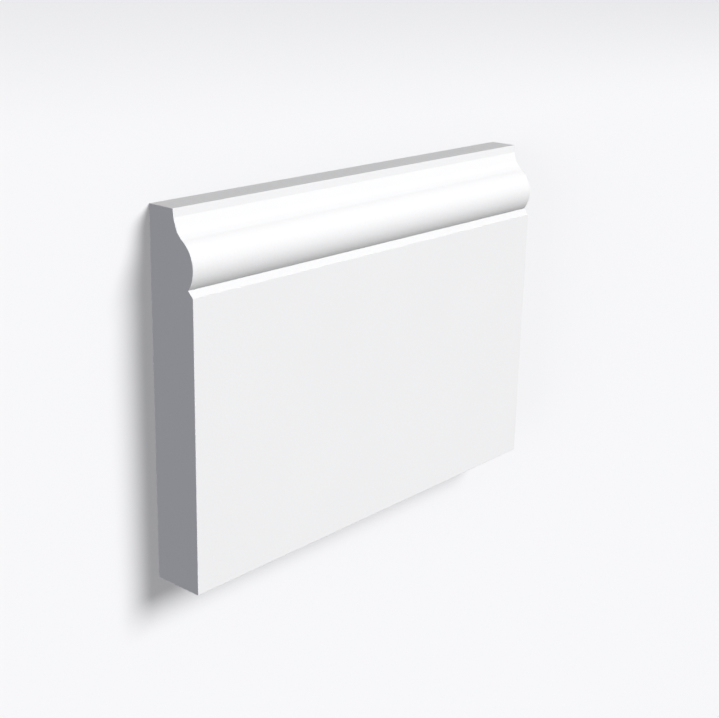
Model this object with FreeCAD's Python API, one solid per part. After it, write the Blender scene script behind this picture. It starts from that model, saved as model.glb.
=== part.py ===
"""Ogee skirting board: a short length of moulded board, machined from one piece of MDF.

Millimetres. The board lies on its back with the moulded face up.
+X runs along its length, +Y from the lower edge to the moulded top edge, +Z out of the face.
The origin is the centre of the back.
"""
import FreeCAD, Part
import math
import os

# Board
board_length = 167.0
board_height = 119.0
board_thickness = 18.0
arris_radius = 0.15

# Ogee moulding, from the top edge downwards; a lean is in degrees away from the flat face, and
# the upper slope's share is of the depth between the fillet's foot and the start of the round
moulding_depth = 7.9
fillet_height = 2.6
fillet_lean = 5.0
upper_slope_share = 0.43
upper_slope_lean = 19.5
hollow_radius = 5.0
lower_slope_lean = 46.5
round_start_lean = 57.0
round_radius = 9.7
round_proud = 0.2

# V-groove under the round, with its sloping lip
groove_depth = 2.0
lip_height = 2.0


def ogee_points():
    """The moulding's points as (height above the lower edge, depth behind the flat face).

    The upper slope runs out of the fillet's foot, and the lower slope runs on to the start of the round.
    """
    start_lean = math.radians(round_start_lean)
    round_start_depth = round_radius * (1 - math.cos(start_lean)) - round_proud

    fillet_run = fillet_height * math.tan(math.radians(fillet_lean))
    fillet_foot = (board_height - fillet_height, moulding_depth - fillet_run)
    slopes_run = fillet_foot[1] - round_start_depth
    upper_slope_run = upper_slope_share * slopes_run
    upper_slope_height = upper_slope_run / math.tan(math.radians(upper_slope_lean))
    slopes_meet = (fillet_foot[0] - upper_slope_height, fillet_foot[1] - upper_slope_run)
    lower_slope_run = slopes_run - upper_slope_run
    lower_slope_height = lower_slope_run / math.tan(math.radians(lower_slope_lean))
    round_start = (slopes_meet[0] - lower_slope_height, round_start_depth)

    crest = (round_start[0] - round_radius * math.sin(start_lean), -round_proud)
    round_centre_depth = round_radius - round_proud
    groove_drop = math.sqrt(round_radius**2 - (round_centre_depth - groove_depth)**2)
    groove_bottom = (crest[0] - groove_drop, groove_depth)
    lip_foot = (groove_bottom[0] - lip_height, 0.0)
    return fillet_foot, slopes_meet, round_start, crest, groove_bottom, lip_foot


def outer_corners():
    """The section's outer corners as (height, depth): two at the lower edge and two at the top edge."""
    return (
        (0.0, board_thickness),
        (0.0, 0.0),
        (board_height, moulding_depth),
        (board_height, board_thickness),
    )


def in_section(height, depth):
    """A point of the section at the board's left end."""
    return FreeCAD.Vector(-board_length / 2, height - board_height / 2, board_thickness - depth)


def board_section():
    """The closed outline: lower edge, flat face, lip, round, two slopes, fillet, top edge and back."""
    fillet_foot, slopes_meet, round_start, crest, groove_bottom, lip_foot = (
        in_section(*point) for point in ogee_points()
    )
    back_low, face_low, top_front, back_high = (in_section(*point) for point in outer_corners())
    return Part.Wire([
        Part.LineSegment(back_low, face_low).toShape(),
        Part.LineSegment(face_low, lip_foot).toShape(),
        Part.LineSegment(lip_foot, groove_bottom).toShape(),
        Part.Arc(groove_bottom, crest, round_start).toShape(),
        Part.LineSegment(round_start, slopes_meet).toShape(),
        Part.LineSegment(slopes_meet, fillet_foot).toShape(),
        Part.LineSegment(fillet_foot, top_front).toShape(),
        Part.LineSegment(top_front, back_high).toShape(),
        Part.LineSegment(back_high, back_low).toShape(),
    ])


def long_edges(solid, corners):
    """The edges that run the board's whole length through the given corners of its section."""
    middles = [in_section(*corner) + FreeCAD.Vector(board_length / 2, 0, 0) for corner in corners]
    return [edge for edge in solid.Edges if any(edge.CenterOfMass.isEqual(m, 0.001) for m in middles)]


def make_board():
    """The section run along the length, with the hollow rounded and the four outer corners just eased."""
    sawn = Part.Face(board_section()).extrude(FreeCAD.Vector(board_length, 0, 0))
    slopes_meet = ogee_points()[1]
    hollowed = sawn.makeFillet(hollow_radius, long_edges(sawn, [slopes_meet]))
    eased = hollowed.makeFillet(arris_radius, long_edges(hollowed, outer_corners()))
    return eased.Solids[0]


os.makedirs("parts", exist_ok=True)
skirting_board = make_board()
skirting_board.exportStep("parts/skirting_board.step")
print("skirting board", skirting_board.ShapeType, "valid", skirting_board.isValid())
print("volume in cubic centimetres", round(skirting_board.Volume / 1000, 3))
print("size", skirting_board.BoundBox)
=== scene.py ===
"""Looks of the skirting board: primed white all over, lying on its back on a pale studio floor.

Metres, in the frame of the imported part.
+X runs along the board, +Y towards its moulded edge, +Z out of its face.
"""
import math

import bmesh
import bpy
from mathutils import Matrix, Vector


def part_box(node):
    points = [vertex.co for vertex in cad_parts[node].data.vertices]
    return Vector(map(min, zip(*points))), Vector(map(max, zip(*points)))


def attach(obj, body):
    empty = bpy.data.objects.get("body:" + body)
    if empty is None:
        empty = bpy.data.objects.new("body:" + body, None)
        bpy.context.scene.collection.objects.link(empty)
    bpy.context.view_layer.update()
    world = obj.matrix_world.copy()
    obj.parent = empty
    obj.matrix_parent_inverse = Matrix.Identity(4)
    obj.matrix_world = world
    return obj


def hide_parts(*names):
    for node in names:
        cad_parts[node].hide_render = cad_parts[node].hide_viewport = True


MM = 0.001
QUARTER_TURN = math.pi / 2
ORIGIN = Vector((0.0, 0.0, 0.0))

# Board
BOARD_THICKNESS = 18.0 * MM
LONG_ARRIS = 0.15 * MM

# Ease of a sawn end, and its steps as shares of it: (in along the board, in from the outline)
END_ARRIS = 0.1 * MM
END_ARRIS_STEPS = ((0.0, 1.0), (0.29, 0.29), (1.0, 0.0))

# Ogee moulding, from the top edge downwards; a lean is the angle away from the flat face
MOULDING_DEPTH = 7.9 * MM
FILLET_HEIGHT = 2.6 * MM
FILLET_LEAN = math.radians(5.0)
UPPER_SLOPE_SHARE = 0.43  # of the rise from the fillet's foot to the start of the round
UPPER_SLOPE_LEAN = math.radians(19.5)
HOLLOW_RADIUS = 5.0 * MM
LOWER_SLOPE_LEAN = math.radians(46.5)
ROUND_START_LEAN = math.radians(57.0)
ROUND_RADIUS = 9.7 * MM
GROOVE_DEPTH = 2.0 * MM
LIP_HEIGHT = 2.0 * MM

# Smoothness of the rounded stretches
MOULDING_STEP = math.radians(1.5)
ARRIS_STEP = math.radians(6.0)
CREASE_ANGLE = math.radians(7.0)

# Primer: slow clouds of tone and sheen, and reliefs as (size, stretch along the axes, height)
CLOUD_SIZE = 25.0 * MM
CLOUD_DETAIL = 3.0
CLOUD_TONE = 0.012
CLOUD_SHEEN = 0.04
PRIMER_GLOSS = 0.2
RELIEF_DETAIL = 2.0
FACE_TONE = (0.794, 0.794, 0.799)
FACE_ROUGHNESS = 0.82
FACE_STIPPLE = (1.2 * MM, (1.0, 1.0, 1.0), 0.02 * MM)
FACE_SCRATCHES = (0.5 * MM, (60.0, 1.0, 1.0), 0.006 * MM)
END_TONE = (0.79, 0.79, 0.795)
END_ROUGHNESS = 0.86
END_FIBRES = (0.6 * MM, (1.0, 4.0, 1.0), 0.03 * MM)
END_SAW_MARKS = (1.2 * MM, (1.0, 1.0, 30.0), 0.03 * MM)

# Camera, as it stood before the upright board
PHOTO_WIDTH = 719
FOCAL_PIXELS = 1358.4
SENSOR_WIDTH = 36.0
NEAREST_SEEN = 0.01
CAMERA_PLACE = Vector((-333.3, -297.6, 139.4)) * MM
CAMERA_YAW = math.radians(49.09)
CAMERA_PITCH = math.radians(18.11)
CAMERA_ROLL = math.radians(1.27)

# Light: a distant lamp's angle is how wide it looks, and the wider, the softer its shadows
KEY_STRENGTH = 3.97
KEY_DIRECTION = Vector((0.5, 0.63, 1.0))
KEY_ANGLE = math.radians(30.0)
LEFT_FILL_STRENGTH = 0.93
LEFT_FILL_DIRECTION = Vector((-1.0, 0.1, 0.2))
LEFT_FILL_ANGLE = math.radians(28.0)
LOW_FILL_POWER = 4.0
LOW_FILL_SIZE = 0.5
LOW_FILL_PLACE = Vector((0.25, -1.0, -0.35))
LOW_FILL_AIM = Vector((0.0, -0.06, 0.01))
FILL_TINT = (0.96, 0.98, 1.06)
AMBIENT = (0.05, 0.05, 0.052)
BACKDROP = (0.85, 0.85, 0.865)

# Floor: it glows a little, as painted fill light that keeps the shadows on it light, less so behind
# the moulded edge, as painted shade, and far away it has the backdrop's tone
FLOOR_SIZE = 8.0
FLOOR_DROP = 0.02 * MM
FLOOR_TONE = (0.6, 0.6, 0.606)
GLOW_TINT = (1.0, 1.0, 1.03)
NEAR_PAINTED_FILL = 0.283
BEHIND_PAINTED_FILL = 0.14
BEHIND_DIRECTION = (0.045, 1.0, 0.0)
BEHIND = (72.0 * MM, 130.0 * MM)
FAR_PAINTED_FILL = 0.194
FAR = (250.0 * MM, 1500.0 * MM)


def arc(centre, radius, start, stop, step):
    """Points on a round stretch of the section, as (y, z), from one angle to the other."""
    count = max(1, math.ceil(abs(stop - start) / step))
    angles = [start + (stop - start) * i / count for i in range(count + 1)]
    return [(centre[0] + radius * math.cos(a), centre[1] + radius * math.sin(a)) for a in angles]


def ogee(top_y, crest_z):
    """The moulding from the lip's foot up to the fillet's foot."""
    round_z = crest_z - ROUND_RADIUS
    round_start_z = round_z + ROUND_RADIUS * math.cos(ROUND_START_LEAN)
    fillet_rise = FILLET_HEIGHT * math.tan(FILLET_LEAN)
    fillet_foot = (top_y - FILLET_HEIGHT, BOARD_THICKNESS - MOULDING_DEPTH + fillet_rise)
    upper_slope_rise = UPPER_SLOPE_SHARE * (round_start_z - fillet_foot[1])
    slopes_meet = (
        fillet_foot[0] - upper_slope_rise / math.tan(UPPER_SLOPE_LEAN),
        fillet_foot[1] + upper_slope_rise,
    )
    run_in = HOLLOW_RADIUS * math.tan((LOWER_SLOPE_LEAN - UPPER_SLOPE_LEAN) / 2)
    along, out = math.cos(UPPER_SLOPE_LEAN), math.sin(UPPER_SLOPE_LEAN)
    hollow_centre = (
        slopes_meet[0] + run_in * along + HOLLOW_RADIUS * out,
        slopes_meet[1] - run_in * out + HOLLOW_RADIUS * along,
    )
    hollow_start = -QUARTER_TURN - LOWER_SLOPE_LEAN
    hollow_stop = -QUARTER_TURN - UPPER_SLOPE_LEAN
    hollow = arc(hollow_centre, HOLLOW_RADIUS, hollow_start, hollow_stop, MOULDING_STEP)

    round_start_y = slopes_meet[0] - (round_start_z - slopes_meet[1]) / math.tan(LOWER_SLOPE_LEAN)
    round_centre = (round_start_y - ROUND_RADIUS * math.sin(ROUND_START_LEAN), round_z)
    groove_turn = math.acos((BOARD_THICKNESS - GROOVE_DEPTH - round_z) / ROUND_RADIUS)
    bulge_start = QUARTER_TURN + groove_turn
    bulge_stop = QUARTER_TURN - ROUND_START_LEAN
    bulge = arc(round_centre, ROUND_RADIUS, bulge_start, bulge_stop, MOULDING_STEP)
    lip_foot = (bulge[0][0] - LIP_HEIGHT, BOARD_THICKNESS)
    return [lip_foot] + bulge + hollow + [fillet_foot]


def long_arris(centre_y, centre_z, start, stop):
    """The eased corner of one long edge."""
    return arc((centre_y, centre_z), LONG_ARRIS, start, stop, ARRIS_STEP)


def section(low, high):
    """The board's closed outline as (y, z), clockwise seen from its right end."""
    low_y, high_y = low.y + LONG_ARRIS, high.y - LONG_ARRIS
    back_z, face_z = low.z + LONG_ARRIS, BOARD_THICKNESS - LONG_ARRIS
    top_front_drop = LONG_ARRIS * (1 - math.sin(FILLET_LEAN)) / math.cos(FILLET_LEAN)
    top_front_z = BOARD_THICKNESS - MOULDING_DEPTH - top_front_drop
    return (
        long_arris(low_y, back_z, -QUARTER_TURN, -2 * QUARTER_TURN)
        + long_arris(low_y, face_z, 2 * QUARTER_TURN, QUARTER_TURN)
        + ogee(high.y, high.z)
        + long_arris(high_y, top_front_z, QUARTER_TURN - FILLET_LEAN, 0.0)
        + long_arris(high_y, back_z, 0.0, -QUARTER_TURN)
    )


def pulled_in(outline, distance):
    """The outline with every side moved inwards by the distance."""
    pulled = []
    for i, (y, z) in enumerate(outline):
        before, after = outline[i - 1], outline[(i + 1) % len(outline)]
        side_before = Vector((z - before[1], before[0] - y)).normalized()
        side_after = Vector((after[1] - z, y - after[0])).normalized()
        inward = (side_before + side_after) / (1 + side_before.dot(side_after))
        pulled.append((y + distance * inward.x, z + distance * inward.y))
    return pulled


def end_rings(outline, end, inward):
    """The outlines that ease a sawn end, from its flat cut inwards, as (x, outline)."""
    return [
        (end + inward * END_ARRIS * along, pulled_in(outline, END_ARRIS * pulled))
        for along, pulled in END_ARRIS_STEPS
    ]


def board_mesh(low, high):
    """The section run along the board, with both sawn ends just eased."""
    outline = section(low, high)
    left_rings = end_rings(outline, low.x, 1.0)
    right_rings = end_rings(outline, high.x, -1.0)
    rings = left_rings + right_rings[::-1]
    bm = bmesh.new()
    loops = [[bm.verts.new((x, y, z)) for y, z in points] for x, points in rings]
    for near, far in zip(loops, loops[1:]):
        for i in range(len(near)):
            j = (i + 1) % len(near)
            bm.faces.new((near[i], near[j], far[j], far[i]))
    caps = [bm.faces.new(loops[0][::-1]), bm.faces.new(loops[-1])]
    for face in caps:
        face.material_index = 1
    bmesh.ops.recalc_face_normals(bm, faces=bm.faces)
    bmesh.ops.triangulate(bm, faces=caps)
    mesh = bpy.data.meshes.new("board")
    bm.to_mesh(mesh)
    bm.free()
    mesh.shade_smooth()
    mesh.set_sharp_from_angle(angle=CREASE_ANGLE)
    return mesh


class Nodes:
    """A node tree that is written one node at a time."""

    def __init__(self, tree):
        self.tree = tree
        tree.nodes.clear()

    def add(self, kind, sources=None, **settings):
        """A new node, with its inputs given by name as a value or as another node's output."""
        node = self.tree.nodes.new(kind)
        for name, value in settings.items():
            setattr(node, name, value)
        for name, source in (sources or {}).items():
            socket = node.inputs[name]
            if isinstance(source, bpy.types.NodeSocket):
                self.tree.links.new(source, socket)
            else:
                socket.default_value = source
        return node


def new_material(name):
    """A material and its nodes, none as yet."""
    material = bpy.data.materials.new(name)
    material.use_nodes = True
    return material, Nodes(material.node_tree)


def noise(nodes, place, grain_size, stretch, detail):
    """Soft noise with grains of the given size, drawn out along the axes by the stretch."""
    squeeze = [1 / s for s in stretch]
    stretched = nodes.add("ShaderNodeMapping", {"Vector": place, "Scale": squeeze})
    texture = nodes.add("ShaderNodeTexNoise", {
        "Vector": stretched.outputs["Vector"],
        "Scale": 1 / grain_size,
        "Detail": detail,
    })
    return texture.outputs["Fac"]


def primer(name, tone, roughness, *reliefs):
    """Matt white primer over machined board: nearly even in colour, over faint reliefs.

    Each relief is given as (size, stretch along the axes, height).
    """
    material, nodes = new_material(name)
    place = nodes.add("ShaderNodeTexCoord").outputs["Object"]
    cloud = noise(nodes, place, CLOUD_SIZE, (1.0, 1.0, 1.0), CLOUD_DETAIL)
    colour = nodes.add("ShaderNodeMix", {"Factor": cloud}, data_type="RGBA")
    colour.inputs["A"].default_value = (*[c * (1 - CLOUD_TONE) for c in tone], 1.0)
    colour.inputs["B"].default_value = (*[c * (1 + CLOUD_TONE) for c in tone], 1.0)
    sheen = nodes.add("ShaderNodeMapRange", {
        "Value": cloud,
        "To Min": roughness - CLOUD_SHEEN,
        "To Max": roughness + CLOUD_SHEEN,
    })
    shader = nodes.add("ShaderNodeBsdfPrincipled", {
        "Base Color": colour.outputs["Result"],
        "Roughness": sheen.outputs["Result"],
        "Specular IOR Level": PRIMER_GLOSS,
    })
    normal = None
    for size, stretch, height in reliefs:
        relief = noise(nodes, place, size, stretch, RELIEF_DETAIL)
        bump = nodes.add("ShaderNodeBump", {"Height": relief, "Distance": height})
        if normal:
            nodes.tree.links.new(normal, bump.inputs["Normal"])
        normal = bump.outputs["Normal"]
    nodes.tree.links.new(normal, shader.inputs["Normal"])
    nodes.add("ShaderNodeOutputMaterial", {"Surface": shader.outputs["BSDF"]})
    return material


def dress_board():
    """The finely rounded board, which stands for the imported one."""
    low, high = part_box("skirting_board")
    board = bpy.data.objects.new("primed_board", board_mesh(low, high))
    bpy.context.scene.collection.objects.link(board)
    face = primer("primed_face", FACE_TONE, FACE_ROUGHNESS, FACE_STIPPLE, FACE_SCRATCHES)
    sawn_end = primer("primed_sawn_end", END_TONE, END_ROUGHNESS, END_FIBRES, END_SAW_MARKS)
    board.data.materials.append(face)
    board.data.materials.append(sawn_end)
    even = board.modifiers.new("even_normals", "WEIGHTED_NORMAL")
    even.keep_sharp = True
    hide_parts("skirting_board")
    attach(board, "root")


def faded(nodes, distance, between, start, stop):
    """A value that goes softly from start to stop between two distances."""
    fade = nodes.add("ShaderNodeMapRange", {
        "Value": distance,
        "From Min": between[0],
        "From Max": between[1],
        "To Min": start,
        "To Max": stop,
    }, interpolation_type="SMOOTHSTEP")
    return fade.outputs["Result"]


def floor_material():
    """Matt, with a glow of painted fill light that fades behind the moulded edge, as painted shade,
    and far away.
    """
    material, nodes = new_material("floor")
    place = nodes.add("ShaderNodeTexCoord").outputs["Object"]
    behind = nodes.add("ShaderNodeVectorMath", operation="DOT_PRODUCT")
    nodes.tree.links.new(place, behind.inputs[0])
    behind.inputs[1].default_value = BEHIND_DIRECTION
    away = nodes.add("ShaderNodeVectorMath", {"Vector": place}, operation="LENGTH")
    # painted shade: the floor's painted fill light drops behind the moulded edge
    near_glow = faded(nodes, behind.outputs["Value"], BEHIND, NEAR_PAINTED_FILL, BEHIND_PAINTED_FILL)
    strength = faded(nodes, away.outputs["Value"], FAR, near_glow, FAR_PAINTED_FILL)
    matt = nodes.add("ShaderNodeBsdfDiffuse", {"Color": (*FLOOR_TONE, 1.0)})
    # painted fill light: the floor's glow lightens the shadows on it
    glow = nodes.add("ShaderNodeEmission", {"Color": (*GLOW_TINT, 1.0), "Strength": strength})
    both = nodes.add("ShaderNodeAddShader")
    nodes.tree.links.new(matt.outputs[0], both.inputs[0])
    nodes.tree.links.new(glow.outputs[0], both.inputs[1])
    nodes.add("ShaderNodeOutputMaterial", {"Surface": both.outputs[0]})
    return material


def make_floor():
    """A pale floor whose own glow, painted fill light, keeps the shadows on it light."""
    half = FLOOR_SIZE / 2
    corners = [
        (-half, -half, -FLOOR_DROP),
        (half, -half, -FLOOR_DROP),
        (half, half, -FLOOR_DROP),
        (-half, half, -FLOOR_DROP),
    ]
    mesh = bpy.data.meshes.new("floor")
    mesh.from_pydata(corners, [], [(0, 1, 2, 3)])
    mesh.materials.append(floor_material())
    floor = bpy.data.objects.new("floor", mesh)
    bpy.context.scene.collection.objects.link(floor)
    floor.visible_diffuse = False
    floor.visible_glossy = False
    floor.visible_shadow = False


def new_lamp(name, kind, place, aim, **settings):
    """A lamp that shines from a place towards a point; a distant one takes only the direction."""
    lamp = bpy.data.lights.new(name, kind)
    for key, value in settings.items():
        setattr(lamp, key, value)
    holder = bpy.data.objects.new(name, lamp)
    holder.location = place
    holder.rotation_mode = "QUATERNION"
    holder.rotation_quaternion = (aim - place).to_track_quat("-Z", "Y")
    bpy.context.scene.collection.objects.link(holder)


def make_world():
    """Faint light from all around, and a backdrop that only the camera sees."""
    world = bpy.data.worlds.new("studio")
    world.use_nodes = True
    nodes = Nodes(world.node_tree)
    ambient = nodes.add("ShaderNodeBackground", {"Color": (*AMBIENT, 1.0)})
    backdrop = nodes.add("ShaderNodeBackground", {"Color": (*BACKDROP, 1.0)})
    seen = nodes.add("ShaderNodeLightPath").outputs["Is Camera Ray"]
    mixed = nodes.add("ShaderNodeMixShader", {"Fac": seen})
    nodes.tree.links.new(ambient.outputs[0], mixed.inputs[1])
    nodes.tree.links.new(backdrop.outputs[0], mixed.inputs[2])
    nodes.add("ShaderNodeOutputWorld", {"Surface": mixed.outputs[0]})
    bpy.context.scene.world = world


def make_lights():
    """A broad key light, a weak one from the left, and one from low in front of the lower edge."""
    new_lamp("key", "SUN", KEY_DIRECTION, ORIGIN, energy=KEY_STRENGTH, angle=KEY_ANGLE)
    new_lamp("left_fill", "SUN", LEFT_FILL_DIRECTION, ORIGIN,
             energy=LEFT_FILL_STRENGTH, angle=LEFT_FILL_ANGLE, color=FILL_TINT)
    new_lamp("low_fill", "AREA", LOW_FILL_PLACE, LOW_FILL_AIM,
             energy=LOW_FILL_POWER, shape="SQUARE", size=LOW_FILL_SIZE, color=FILL_TINT)


def make_camera():
    """The photograph's camera, laid down together with the board."""
    data = bpy.data.cameras.new("camera")
    data.sensor_width = SENSOR_WIDTH
    data.lens = FOCAL_PIXELS * SENSOR_WIDTH / PHOTO_WIDTH
    data.clip_start = NEAREST_SEEN
    camera = bpy.data.objects.new("camera", data)
    upright = (
        Matrix.Translation(CAMERA_PLACE)
        @ Matrix.Rotation(-CAMERA_YAW, 4, "Z")
        @ Matrix.Rotation(QUARTER_TURN - CAMERA_PITCH, 4, "X")
        @ Matrix.Rotation(CAMERA_ROLL, 4, "Z")
    )
    lay_down = Matrix.Rotation(-QUARTER_TURN, 4, "X")
    camera.matrix_world = lay_down @ upright
    bpy.context.scene.collection.objects.link(camera)
    bpy.context.scene.camera = camera


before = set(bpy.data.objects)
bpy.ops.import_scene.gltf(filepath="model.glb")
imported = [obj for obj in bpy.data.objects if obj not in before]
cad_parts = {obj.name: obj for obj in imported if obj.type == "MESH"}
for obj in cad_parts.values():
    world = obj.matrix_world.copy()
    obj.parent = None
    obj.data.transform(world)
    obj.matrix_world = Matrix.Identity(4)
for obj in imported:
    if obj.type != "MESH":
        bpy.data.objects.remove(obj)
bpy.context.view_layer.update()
dress_board()
make_floor()
make_lights()
make_world()
make_camera()
bpy.context.scene.view_settings.view_transform = "Standard"
bpy.context.scene.cycles.diffuse_bounces = 0
